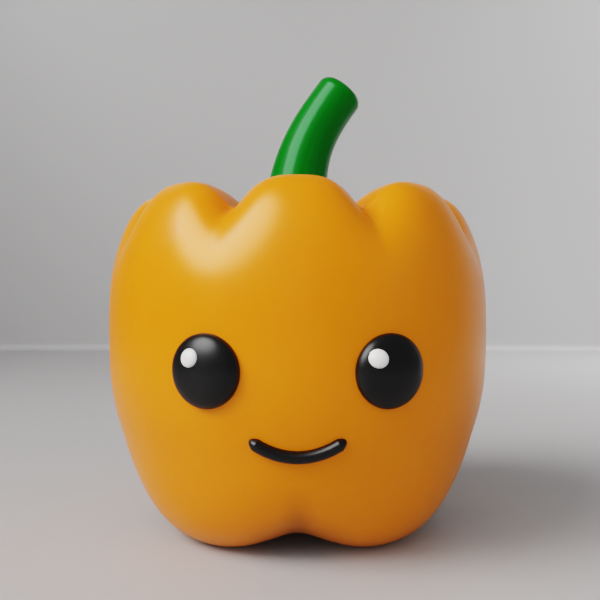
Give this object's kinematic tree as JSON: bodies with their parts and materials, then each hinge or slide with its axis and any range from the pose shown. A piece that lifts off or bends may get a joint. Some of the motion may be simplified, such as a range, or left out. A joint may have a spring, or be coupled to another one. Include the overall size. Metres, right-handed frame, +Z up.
{
  "type": "bell pepper",
  "caption": "Smooth orange bell pepper with a lobed fruit, a leaning green stalk and calyx, and plain, calm face trim; it stands by itself on the flat spots of its lobes.",
  "frame": {"origin": "on the surface that the pepper stands on, under the middle of the fruit", "axes": "+Z up through the fruit; the face is on the -Y side; the stalk leans towards +X"},
  "size_m": [0.088, 0.0889, 0.1056],
  "materials": {
    "pepper_skin": "smooth orange skin with a satin, waxy sheen",
    "stalk_green": "smooth green stalk and calyx with a satin sheen and fine lengthwise fibres",
    "face_black": "polished near-black",
    "face_white": "satin off-white"
  },
  "bodies": {
    "root": {"fruit": "pepper_skin", "stalk_and_calyx": "stalk_green", "left_eye": "face_black", "left_eye_glint": "face_white", "right_eye": "face_black", "right_eye_glint": "face_white", "mouth": "face_black"}
  },
  "joints": []
}
